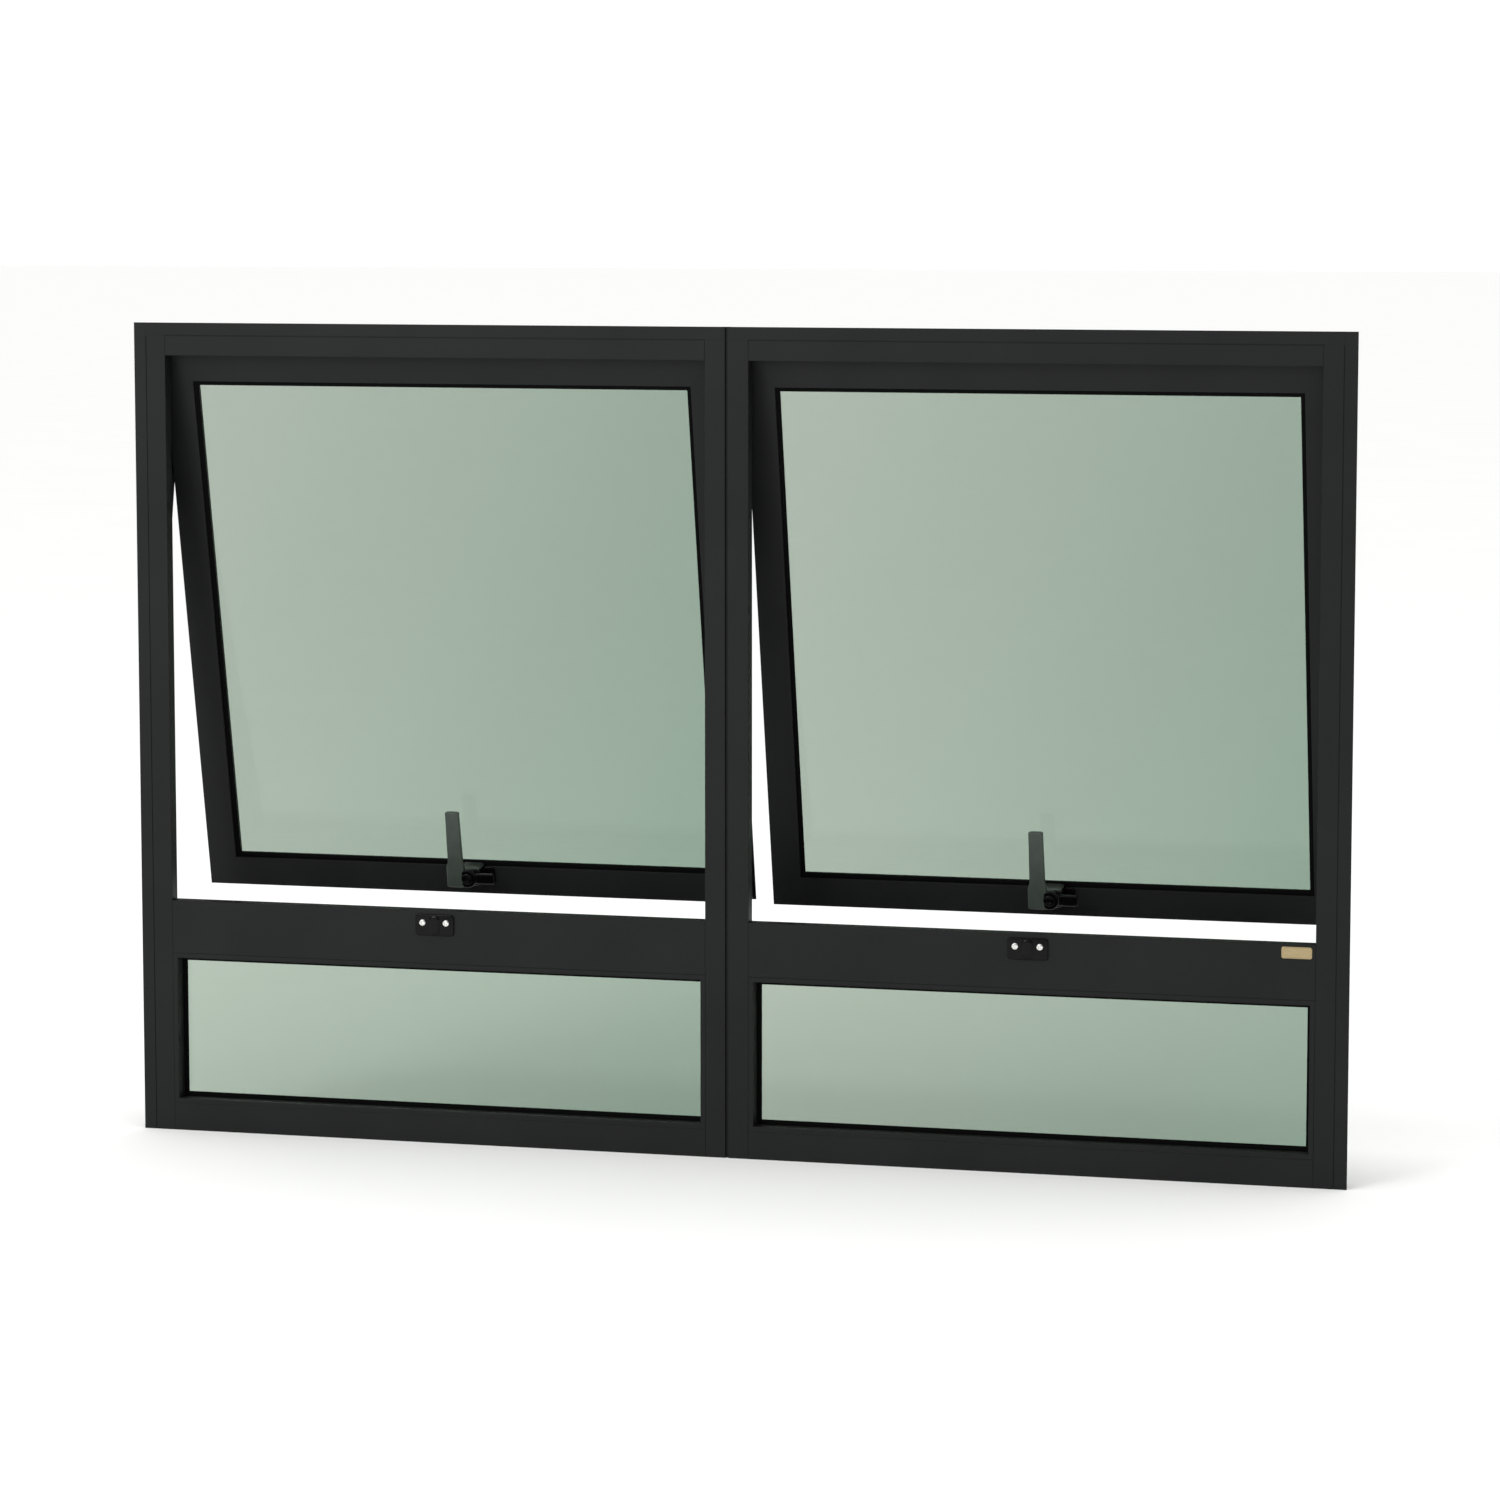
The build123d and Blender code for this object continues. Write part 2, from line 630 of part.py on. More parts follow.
# Handles: the same on both sashes, drawn about the pivot at X = 0 and Z = 0
tongue_back = strike_face - strike_ramp - handle_gap
lever_front = tongue_back - lever_thickness
base_front = sash_indoor - base_plate
bolt_end = (tongue_back + sash_indoor) / 2
bolt_seat = lever_front - layer_gap
base = block(
    -base_width / 2, base_width / 2, base_front, sash_indoor,
    -base_drop - base_height / 2, -base_drop + base_height / 2
)
base = fillet(base.edges().filter_by(Axis.Y), base_corner)
pedestal = block(
    -pedestal_width / 2, pedestal_width / 2, tongue_back + layer_gap, base_front,
    -pedestal_height / 2, pedestal_height / 2
)
base += fillet(pedestal.edges().filter_by(Axis.Y), pedestal_corner)
base -= rod_y(pivot_bolt_radius, tongue_back, bolt_end, 0, 0)
handle_fixings = [
    rod_y(pivot_bolt_radius, bolt_seat, bolt_end, 0, 0)
    + rod_y(pivot_bolt_head_radius, bolt_seat - pivot_bolt_head, bolt_seat, 0, 0)
]
rail_holes = []
for flank in (-1, 1):
    x = flank * (base_width + pedestal_width) / 4
    z = -base_screw_drop
    rail_holes.append(rod_y(screw_radius + pin_clearance, base_front, sash_indoor + sash_leg, x, z))
    base -= rail_holes[-1]
    screw = rod_y(screw_head_radius, base_front - screw_head, base_front, x, z)
    handle_fixings.append(screw + rod_y(screw_radius, base_front, sash_indoor + sash_box / 2, x, z))

lever_left = -lever_offset - lever_width / 2
lever_right = lever_left + lever_width
root_left = -lever_root_left
root_right = root_left + lever_root_width
lever_top = lever_length - lever_tail
root_top = lever_root_height - lever_tail
root_shoulder = root_top - lever_taper
lever = slab(
    [
        (root_left, -lever_tail), (root_right, -lever_tail),
        (root_right, root_shoulder), (lever_right, root_top),
        (lever_right, lever_top), (lever_left, lever_top),
        (lever_left, root_top), (root_left, root_shoulder),
    ],
    lever_front, tongue_back
)
lever = fillet(lever.edges().filter_by(Axis.Y), lever_corner)
lever += rod_y(hub_radius, lever_front, tongue_back, 0, 0)
tongue = block(
    0, tongue_length, tongue_back - tongue_thickness, tongue_back, -tongue_width / 2, tongue_width / 2
)
lever += fillet(tongue.edges().filter_by(Axis.Y).sort_by(Axis.X)[-2:], tongue_corner)
lever -= rod_y(pivot_bolt_radius + pin_clearance, lever_front, tongue_back, 0, 0)

handle_z = sash_bottom + handle_rise
for hole in rail_holes:
    bottom_rail -= Pos(vent_x, 0, handle_z) * hole
modules("sash_bottom_rail", [opened(bottom_rail)])
modules("sash_top_rail", [opened(top_rail)])
modules("sash_centre_stile", [opened(centre_stile)])
modules("sash_outer_stile", [opened(outer_stile)])
for side, x in (("right_", vent_x), ("left_", -vent_x)):
    at_handle = Pos(x, 0, handle_z)
    nodes[side + "handle_base"] = [opened(at_handle * base)]
    nodes[side + "handle_fixings"] = [opened(at_handle * piece) for piece in handle_fixings]
    nodes[side + "lever"] = [opened(at_handle * lever)]

os.makedirs("parts", exist_ok=True)
for name, pieces in nodes.items():
    solids = [solid for piece in pieces for solid in piece.solids()]
    export_step(Compound(solids) if len(solids) > 1 else solids[0], f"parts/{name}.step")
print(len(nodes), "nodes")
print("stay line y", track_y, "fixed pivot z", fixed_pivot_z, "mid pivot z", mid_pivot_z, "shoe z", shoe_z)
print("vent centre x", vent_x, "handle pivot z", handle_z, "lever layer", lever_front, tongue_back)
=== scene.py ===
import json
import math

import bmesh
import bpy
import numpy as np
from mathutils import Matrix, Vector


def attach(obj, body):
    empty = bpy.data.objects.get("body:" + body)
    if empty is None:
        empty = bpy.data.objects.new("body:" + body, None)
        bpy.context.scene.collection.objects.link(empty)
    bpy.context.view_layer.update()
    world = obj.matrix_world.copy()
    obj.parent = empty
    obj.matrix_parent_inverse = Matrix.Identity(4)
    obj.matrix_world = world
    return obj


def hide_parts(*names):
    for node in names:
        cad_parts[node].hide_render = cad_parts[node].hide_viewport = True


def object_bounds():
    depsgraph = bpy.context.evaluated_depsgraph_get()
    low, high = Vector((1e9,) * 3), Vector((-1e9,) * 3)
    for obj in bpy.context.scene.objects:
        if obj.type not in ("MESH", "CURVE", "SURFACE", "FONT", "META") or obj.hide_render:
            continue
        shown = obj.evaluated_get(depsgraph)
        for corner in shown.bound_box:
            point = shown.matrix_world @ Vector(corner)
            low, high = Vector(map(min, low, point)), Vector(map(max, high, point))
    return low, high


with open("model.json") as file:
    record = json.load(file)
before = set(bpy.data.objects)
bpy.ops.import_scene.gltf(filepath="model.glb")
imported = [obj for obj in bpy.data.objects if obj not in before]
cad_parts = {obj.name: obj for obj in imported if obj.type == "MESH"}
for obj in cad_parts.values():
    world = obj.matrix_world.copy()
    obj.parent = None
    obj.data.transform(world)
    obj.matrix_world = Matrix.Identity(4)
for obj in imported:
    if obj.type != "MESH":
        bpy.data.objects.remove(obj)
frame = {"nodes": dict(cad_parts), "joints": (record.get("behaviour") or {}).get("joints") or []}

cad_low, cad_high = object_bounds()
nodes = frame["nodes"]
mm = 0.001


# Studio: a white floor that runs to the horizon under a pale sky, one large soft lamp
# overhead, a softer one to the front left, and the camera, which looks down a little
# and stands to the right of the window.

def linear(code):
    """The sRGB curve undone on each channel of a hex colour, with an alpha of one."""
    c = np.array([int(code[k:k + 2], 16) for k in (1, 3, 5)]) / 255
    return (*np.where(c <= 0.04045, c / 12.92, ((c + 0.055) / 1.055) ** 2.4).tolist(), 1.0)


def add(tree, kind, inputs=None, **settings):
    """Adds a shader node with its settings; an input takes a value or a socket to link."""
    made = tree.nodes.new("ShaderNode" + kind)
    for name, value in settings.items():
        setattr(made, name, value)
    for name, value in (inputs or {}).items():
        if isinstance(value, bpy.types.NodeSocket):
            tree.links.new(value, made.inputs[name])
        else:
            made.inputs[name].default_value = value
    return made


def blank(name):
    """A new material with only its output, and that output's surface socket."""
    material = bpy.data.materials.new(name)
    material.use_nodes = True
    material.node_tree.nodes.clear()
    out = add(material.node_tree, "OutputMaterial")
    return material, material.node_tree, out.inputs["Surface"]


def cells(rows, columns, close_rows, close_columns):
    """Cell (i, j) of a grid is the face on points (i, j), (i, j+1), (i+1, j+1) and (i+1, j);
    a closed direction counts on from its last line to its first."""
    i, j = np.meshgrid(
        np.arange(rows - (not close_rows)), np.arange(columns - (not close_columns)), indexing="ij"
    )
    i_next, j_next = (i + 1) % rows, (j + 1) % columns
    corners = [i * columns + j, i * columns + j_next, i_next * columns + j_next, i_next * columns + j]
    return np.stack(corners, -1).reshape(-1, 4)


floor_half = 60.0
floor_lines = 25
steps = np.linspace(-floor_half, floor_half, floor_lines)
floor_x, floor_y = np.meshgrid(steps, steps, indexing="xy")
floor_points = np.stack([floor_x, floor_y, np.zeros_like(floor_x)], -1).reshape(-1, 3)
floor_mesh = bpy.data.meshes.new("floor")
floor_mesh.from_pydata(floor_points.tolist(), [], cells(floor_lines, floor_lines, False, False).tolist())
floor = bpy.data.objects.new("floor", floor_mesh)
bpy.context.scene.collection.objects.link(floor)

floor_paint, tree, surface = blank("matt white studio paint")
floor_place = add(tree, "TexCoord").outputs["Object"]
mottle = add(tree, "TexNoise", {"Vector": floor_place, "Scale": 3.0, "Detail": 2.0})
shade = add(tree, "MixRGB", {
    "Fac": mottle.outputs["Fac"], "Color1": linear("#f6f6f5"), "Color2": linear("#f9f9f8"),
})
# Painted reflection: a mirror ray off the glass finds the floor painted mid grey instead of white, as a
# black flag before the panes would show, though no flag stands there.
ray = add(tree, "LightPath")
mirror = add(tree, "Math", {
    0: ray.outputs["Is Singular Ray"], 1: ray.outputs["Is Transmission Ray"],
}, operation="SUBTRACT", use_clamp=True)
painted_reflection_mask = add(tree, "Math", {
    0: ray.outputs["Is Glossy Ray"], 1: mirror.outputs["Value"],
}, operation="MULTIPLY")
floor_with_painted_reflection = add(tree, "MixRGB", {
    "Fac": painted_reflection_mask.outputs["Value"], "Color1": shade.outputs["Color"], "Color2": linear("#505050"),
})
paint = add(tree, "BsdfPrincipled", {
    "Base Color": floor_with_painted_reflection.outputs["Color"], "Roughness": 0.9, "Specular IOR Level": 0.1,
})
tree.links.new(paint.outputs["BSDF"], surface)
floor.data.materials.append(floor_paint)

sky = bpy.data.worlds.new("studio sky")
sky.use_nodes = True
sky.node_tree.nodes.clear()
rays = add(sky.node_tree, "LightPath")
reflected = add(sky.node_tree, "Math", {
    0: rays.outputs["Is Glossy Ray"], 1: rays.outputs["Is Transmission Ray"],
}, operation="SUBTRACT", use_clamp=True)
strength = add(sky.node_tree, "MapRange", {
    "Value": reflected.outputs["Value"], "To Min": 1.08, "To Max": 0.35,
})
glow = add(sky.node_tree, "Background", {"Color": (1, 1, 1, 1), "Strength": strength.outputs["Result"]})
add(sky.node_tree, "OutputWorld", {"Surface": glow.outputs["Background"]})
bpy.context.scene.world = sky
bpy.context.scene.view_settings.view_transform = "Standard"


def lamp(name, place, aim, size, watts):
    """A square area lamp at a place, facing its aim."""
    light = bpy.data.lights.new(name, "AREA")
    light.size = size
    light.energy = watts
    made = bpy.data.objects.new(name, light)
    made.location = place
    made.rotation_euler = (Vector(aim) - Vector(place)).to_track_quat("-Z", "Y").to_euler()
    bpy.context.scene.collection.objects.link(made)
    return made


window_middle = (cad_low + cad_high) / 2
lamp("overhead softbox", (0.0, -0.6, 5.5), (0.0, 0.2, 0.0), 6.0, 45.0)
lamp("front left softbox", (-2.4, -4.8, 2.6), window_middle, 1.8, 100.0)

view_azimuth = math.radians(14.77)
view_elevation = math.radians(6.57)
view_distance = 5.881
view_aim = Vector((0.029, -0.025, 0.4966))
back = Vector((
    math.sin(view_azimuth) * math.cos(view_elevation),
    -math.cos(view_azimuth) * math.cos(view_elevation),
    math.sin(view_elevation),
))
camera = bpy.data.objects.new("camera", bpy.data.cameras.new("camera"))
camera.data.sensor_width = 36.0
camera.data.lens = 118.2
camera.data.clip_end = 200.0
camera.location = view_aim + back * view_distance
camera.rotation_euler = (-back).to_track_quat("-Z", "Y").to_euler()
bpy.context.scene.collection.objects.link(camera)
bpy.context.scene.camera = camera


# Frame and sash extrusions: hollow aluminium bars, sawn and coped or mitred, screwed or
# crimped at the corners and powder coated satin black. The coating shows as a soft sheen
# with a shallow orange-peel wave and a slightly darker tone where it lies thick.

def powder_coat():
    """Satin polyester powder on aluminium: dark neutral colour, broad soft gloss and waves."""
    peel_wave = 5 * mm
    grain = 0.9 * mm             # the real grain is about 0.1 mm and is drawn coarser to show
    material, tree, surface = blank("satin black powder coat")
    place = add(tree, "TexCoord").outputs["Object"]
    cloud = add(tree, "TexNoise", {"Vector": place, "Scale": 1 / 0.12, "Detail": 3.0})
    peel = add(tree, "TexNoise", {"Vector": place, "Scale": 1 / peel_wave, "Detail": 1.0})
    fine = add(tree, "TexNoise", {"Vector": place, "Scale": 1 / grain, "Detail": 2.0})
    tone = add(tree, "ValToRGB", {"Fac": cloud.outputs["Fac"]})
    tone.color_ramp.elements[0].position = 0.3
    tone.color_ramp.elements[0].color = linear("#151616")
    tone.color_ramp.elements[1].position = 0.7
    tone.color_ramp.elements[1].color = linear("#191a1a")
    gloss = add(tree, "MapRange", {"Value": fine.outputs["Fac"], "To Min": 0.42, "To Max": 0.56})
    edges = add(tree, "Bevel", {"Radius": 0.5 * mm}, samples=4)
    waves = add(tree, "Bump", {
        "Height": peel.outputs["Fac"], "Strength": 0.25, "Distance": 0.15 * mm,
        "Normal": edges.outputs["Normal"],
    })
    relief = add(tree, "Bump", {
        "Height": fine.outputs["Fac"], "Strength": 0.3, "Distance": 0.03 * mm,
        "Normal": waves.outputs["Normal"],
    })
    coat = add(tree, "BsdfPrincipled", {
        "Base Color": tone.outputs["Color"], "Roughness": gloss.outputs["Result"],
        "Specular IOR Level": 0.16, "Normal": relief.outputs["Normal"],
    })
    tree.links.new(coat.outputs["BSDF"], surface)
    return material


def finish_node(name, material):
    """Puts a material on every slot of a CAD node, whose shape stays as it is."""
    mesh = nodes[name].data
    mesh.materials.clear()
    mesh.materials.append(material)


powder = powder_coat()
for side in ("left_", "right_"):
    for member in (
        "outer_jamb", "centre_jamb", "head", "transom", "sill",
        "sash_bottom_rail", "sash_top_rail", "sash_centre_stile", "sash_outer_stile", "sash_beads",
    ):
        finish_node(side + member, powder)
for member in ("coupling_bar", "fixed_inner_beads", "fixed_outer_beads"):
    finish_node(member, powder)


# Glazing gaskets: wedges of black EPDM rubber pushed in between glass and bead from both
# faces. Each is one extruded length per side, cut to a mitre, and shows a rounded matt lip.

def rubber():
    """Extruded EPDM: near-black, matt, with a faint grey bloom and fine lines of the die."""
    material, tree, surface = blank("extruded black rubber")
    place = add(tree, "TexCoord").outputs["Object"]
    bloom = add(tree, "TexNoise", {"Vector": place, "Scale": 1 / (25 * mm), "Detail": 4.0})
    grit = add(tree, "TexNoise", {"Vector": place, "Scale": 1 / (0.8 * mm), "Detail": 2.0})
    tone = add(tree, "MixRGB", {
        "Fac": bloom.outputs["Fac"], "Color1": linear("#020202"), "Color2": linear("#060606"),
    })
    dull = add(tree, "MapRange", {"Value": bloom.outputs["Fac"], "To Min": 0.62, "To Max": 0.82})
    relief = add(tree, "Bump", {"Height": grit.outputs["Fac"], "Strength": 0.3, "Distance": 0.05 * mm})
    skin = add(tree, "BsdfPrincipled", {
        "Base Color": tone.outputs["Color"], "Roughness": dull.outputs["Result"],
        "Specular IOR Level": 0.06, "Normal": relief.outputs["Normal"],
    })
    tree.links.new(skin.outputs["BSDF"], surface)
    return material


def points_of(name, module=0):
    """A CAD node's vertices as rows; a module of 1 or -1 keeps those right or left of X = 0."""
    mesh = nodes[name].data
    place = np.empty(len(mesh.vertices) * 3)
    mesh.vertices.foreach_get("co", place)
    place = place.reshape(-1, 3)
    return place[place[:, 0] * module >= 0]


def extent(name, axes=np.eye(3), module=0):
    """Lowest and highest corner of a CAD node along three axes: its vertices times the axes."""
    along = points_of(name, module) @ np.transpose(axes)
    return along.min(0), along.max(0)


def make(name, grids, material, body, stands_for, axes=np.eye(3), sharp=40):
    """One object from grids of points, each with two flags that say whether its rows and its
    columns close on themselves. Open ends get one flat face, points that coincide are merged,
    and the faces are turned outwards. The grids' axes are turned into the room's at the end."""
    points, faces, count = [], [], 0
    for grid, close_rows, close_columns in grids:
        rows, columns = grid.shape[:2]
        number = np.arange(rows * columns).reshape(rows, columns) + count
        faces += (cells(rows, columns, close_rows, close_columns) + count).tolist()
        if not close_rows:
            faces += [number[0].tolist(), number[-1].tolist()]
        if not close_columns:
            faces += [number[:, 0].tolist(), number[:, -1].tolist()]
        points.append(grid.reshape(-1, 3))
        count += rows * columns
    mesh = bpy.data.meshes.new(name)
    mesh.from_pydata((np.concatenate(points) @ axes).tolist(), [], faces)
    shape = bmesh.new()
    shape.from_mesh(mesh)
    bmesh.ops.remove_doubles(shape, verts=shape.verts, dist=1e-6)
    bmesh.ops.recalc_face_normals(shape, faces=shape.faces)
    shape.to_mesh(mesh)
    shape.free()
    mesh.shade_smooth()
    mesh.set_sharp_from_angle(angle=math.radians(sharp))
    made = bpy.data.objects.new(name, mesh)
    mesh.materials.append(material)
    bpy.context.scene.collection.objects.link(made)
    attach(made, body)
    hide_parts(*stands_for)
    return made


def round_frame(profile, low, high):
    """A profile of points (inwards, outdoors) carried round a rectangle: at every corner the
    inward distance is added along both sides, which mitres it."""
    corners = np.array([
        (low[0], low[2], 1, 1), (high[0], low[2], -1, 1),
        (high[0], high[2], -1, -1), (low[0], high[2], 1, -1),
    ])
    x = corners[:, :1] + corners[:, 2:3] * profile[:, 0]
    z = corners[:, 1:2] + corners[:, 3:] * profile[:, 0]
    return np.stack([x, np.broadcast_to(profile[:, 1], x.shape), z], -1)


def wedge(grip, show, face, glass_face):
    """Gasket section: a flat grip, then a lip that falls to the glass as a quarter ellipse with
    one shallow groove along its crown."""
    turn = np.linspace(0, np.pi / 2, 9)
    height = face - glass_face
    lip = np.stack([grip + show * np.sin(turn), glass_face + height * np.cos(turn)], -1)
    groove = 0.12 * height * np.exp(-((turn - 0.5) / 0.16) ** 2)
    lip[:, 1] -= groove
    return np.concatenate([[(0, glass_face), (0, face)], lip])


black_rubber = rubber()
lip_show = 5.5 * mm
outdoor_show = 3 * mm
hidden_grip = 6 * mm
for node, show in (("fixed_inner_gaskets", lip_show), ("fixed_outer_gaskets", outdoor_show)):
    rings = []
    for module in (-1, 1):
        low, high = extent(node, module=module)
        face, seat = (low[1], high[1]) if show == lip_show else (high[1], low[1])
        rings.append((round_frame(wedge(hidden_grip, show, face, seat), low, high), True, True))
    make(node.replace("gaskets", "rubber"), rings, black_rubber, "frame", [node])

tilt_axis = next(joint["axis"] for joint in frame["joints"] if joint["name"] == "left_handle")
tilt = np.array([(1, 0, 0), tilt_axis, (0, -tilt_axis[2], tilt_axis[1])], float)
for side in ("left_", "right_"):
    low, high = extent(side + "sash_gaskets", tilt)
    glass_low, glass_high = extent(side + "sash_glass", tilt)
    rings = [
        (round_frame(wedge(hidden_grip, lip_show, low[1], glass_low[1]), low, high), True, True),
        (round_frame(wedge(hidden_grip, outdoor_show, high[1], glass_high[1]), low, high), True, True),
    ]
    make(
        side + "sash_rubber", rings, black_rubber, side + "sash",
        [side + "sash_gaskets"], axes=tilt
    )


# Vent seals: a hollow bulb of the same rubber in a groove on the back of each vent opening,
# which the closed sash squeezes. It is pared down near the head, where the sash sweeps past.

def bulb(width, height):
    """Seal section: a flat foot and an arch over it, half a superellipse of the fourth power."""
    turn = np.linspace(0, np.pi, 13)
    u = width / 2 - width / 2 * np.sign(np.cos(turn)) * np.abs(np.cos(turn)) ** 0.5
    return np.stack([u, height * np.sin(turn) ** 0.5], -1)


seal_width = 6 * mm
pared_run = 12 * mm              # length over which the bulb is pared down
levels = np.unique(np.round(points_of("vent_seals")[:, 1], 5))
foot, pared, full = levels[0], levels[1], levels[-1]
standing = points_of("vent_seals")
pared_z = standing[standing[:, 1] > full - 0.1 * mm, 2].max()
section = bulb(seal_width, 1.0)
arches = []
for module in (-1, 1):
    low, high = extent("vent_seals", module=module)
    stations = np.array([
        (low[0], low[2], 1, 1, full), (high[0], low[2], -1, 1, full),
        (high[0], pared_z, -1, 0, full), (high[0], pared_z + pared_run, -1, 0, pared),
        (high[0], high[2], -1, -1, pared), (low[0], high[2], 1, -1, pared),
        (low[0], pared_z + pared_run, 1, 0, pared), (low[0], pared_z, 1, 0, full),
    ])
    x = stations[:, :1] + stations[:, 2:3] * section[:, 0]
    z = stations[:, 1:2] + stations[:, 3:4] * section[:, 0]
    y = foot + (stations[:, 4:] - foot) * section[:, 1]
    arches.append((np.stack([x, y, z], -1), True, True))
make("vent_bulb_seals", arches, black_rubber, "frame", ["vent_seals"])


# Panes: 4 mm float glass, tinted green in the melt, with ground arrises. A painted shade on the tint makes
# it lighter at one top corner and deeper towards the opposite foot, and the faces carry a slight roller
# wave.

def tinted_glass():
    """Body-tinted float glass: clear and glossy, pale green by transmission, with a painted shade gradient
    across each pane.
    """
    material, tree, surface = blank("green tinted float glass")
    across = add(tree, "UVMap", uv_map="pane")
    # Painted shade: the green tint runs from lighter at the upper left to deeper at the lower right of each
    # pane.
    painted_shade_slope = add(tree, "VectorMath", {0: across.outputs["UV"], 1: (0.7, -0.3, 0.0)}, operation="DOT_PRODUCT")
    share = add(tree, "MapRange", {"Value": painted_shade_slope.outputs["Value"], "From Min": -0.3, "From Max": 0.7})
    tint_and_painted_shade = add(tree, "ValToRGB", {"Fac": share.outputs["Result"]})
    tint_and_painted_shade.color_ramp.elements[0].color = linear("#b2beb2")
    tint_and_painted_shade.color_ramp.elements[1].color = linear("#90a596")
    place = add(tree, "TexCoord").outputs["Object"]
    wave = add(tree, "TexNoise", {"Vector": place, "Scale": 1 / 0.25, "Detail": 1.0})
    relief = add(tree, "Bump", {"Height": wave.outputs["Fac"], "Strength": 0.2, "Distance": 0.4 * mm})
    glass = add(tree, "BsdfPrincipled", {
        "Base Color": tint_and_painted_shade.outputs["Color"], "Roughness": 0.0, "IOR": 1.52,
        "Specular IOR Level": 0.2, "Transmission Weight": 1.0, "Normal": relief.outputs["Normal"],
    })
    tree.links.new(glass.outputs["BSDF"], surface)
    return material


green_glass = tinted_glass()
arris = 0.7 * mm
for side in ("left_", "right_"):
    for kind, body, axes in (("fixed", "frame", np.eye(3)), ("sash", side + "sash", tilt)):
        low, high = extent(side + kind + "_glass", axes)
        edge = np.array([(arris, low[1]), (0, low[1] + arris), (0, high[1] - arris), (arris, high[1])])
        pane = make(
            side + kind + "_pane", [(round_frame(edge, low, high), True, False)], green_glass, body,
            [side + kind + "_glass"], axes=axes, sharp=20
        )
        # Each pane's UV map gives its place across the pane, which carries the painted shade gradient.
        corner = np.empty(len(pane.data.loops), int)
        pane.data.loops.foreach_get("vertex_index", corner)
        place = np.empty(len(pane.data.vertices) * 3)
        pane.data.vertices.foreach_get("co", place)
        place = place.reshape(-1, 3) @ axes.T
        share = (place[corner][:, [0, 2]] - low[[0, 2]]) / (high - low)[[0, 2]]
        pane.data.uv_layers.new(name="pane").data.foreach_set("uv", share.ravel())


# Screws: stainless pan heads with a cross recess, turned and rolled, in the strike plates, the
# handle bases and the stay tracks. The bolts that the levers turn on have a hexagon socket.

def polished_steel():
    """Stainless steel, cold headed and tumbled: a bright mirror broken by fine soft scratches."""
    material, tree, surface = blank("tumbled stainless steel")
    place = add(tree, "TexCoord").outputs["Object"]
    rub = add(tree, "TexNoise", {"Vector": place, "Scale": 1 / (1.2 * mm), "Detail": 3.0})
    gloss = add(tree, "MapRange", {"Value": rub.outputs["Fac"], "To Min": 0.2, "To Max": 0.36})
    relief = add(tree, "Bump", {"Height": rub.outputs["Fac"], "Strength": 0.15, "Distance": 0.02 * mm})
    metal = add(tree, "BsdfPrincipled", {
        "Base Color": linear("#f6f5f2"), "Metallic": 1.0, "Roughness": gloss.outputs["Result"],
        "Normal": relief.outputs["Normal"],
    })
    tree.links.new(metal.outputs["BSDF"], surface)
    return material


def cross(x, y):
    """Distance to a cross recess, one on its edge: the nearer of two crossed bars."""
    length, width = 0.52, 0.13
    flat = np.maximum(np.abs(x) / length, np.abs(y) / width)
    upright = np.maximum(np.abs(y) / length, np.abs(x) / width)
    return np.minimum(flat, upright)


def hexagon(x, y):
    """Distance to a hexagon socket, one on its edge: the farthest of its three pairs of flats."""
    turns = np.pi / 3 * np.arange(3)
    return np.max([np.abs(x * np.cos(turn) + y * np.sin(turn)) for turn in turns], axis=0) / 0.45


def screw(radius, crown, shank, length, recess, pitch=1.4 * mm):
    """A screw that stands on its seat at zero and points down. The crown is a superellipse of
    the fourth power, less the recess; the shank's radius ripples with the height plus the angle,
    which is a helix."""
    angle = np.linspace(0, 2 * np.pi, 48, endpoint=False)
    share = np.sin(np.linspace(0, np.pi / 2, 16))[:, None]
    x, y = share * np.cos(angle), share * np.sin(angle)
    sink = 0.6 * crown * np.clip((1.15 - recess(x, y)) / 0.3, 0, 1)
    head = np.stack([radius * x, radius * y, crown * (1 - share ** 4) ** 0.5 - sink], -1)
    down = np.linspace(0, length, max(int(6 * length / pitch), 3))[:, None]
    ripple = 0.12 * shank * np.clip(down / pitch, 0, 1) * np.cos(2 * np.pi * down / pitch + angle)
    bore = shank * 0.88 + ripple
    stem = np.stack([bore * np.cos(angle), bore * np.sin(angle), -down + 0 * angle], -1)
    tip = np.zeros((1, len(angle), 3)) - [0, 0, length + 0.5 * shank]
    return np.concatenate([head, stem, tip])


indoors = np.array([(1, 0, 0), (0, 0, 1), (0, -1, 0)])       # turns a screw's crown to -Y
steel = polished_steel()
pan_radius = 4.3 * mm
shank_radius = 2 * mm
screw_length = 12 * mm
strike_crown = 2.4 * mm
heads = []
for module in (-1, 1):
    low, high = extent("strike_screws", module=module)
    for x, turn in ((low[0] + pan_radius, 0.3), (high[0] - pan_radius, 1.1)):
        spin = np.array([
            (math.cos(turn), math.sin(turn), 0), (-math.sin(turn), math.cos(turn), 0), (0, 0, 1),
        ])
        points = screw(pan_radius, strike_crown, shank_radius, screw_length, cross)
        place = (x, low[1] + strike_crown, (low[2] + high[2]) / 2)
        heads.append((points @ spin @ indoors + place, False, True))
make("strike_plate_screws", heads, steel, "frame", ["strike_screws"])


# Strike plates: small die castings under gloss black paint, screwed on the transom. The lever's
# tongue runs up the raised pad between the screws and draws the sash shut.

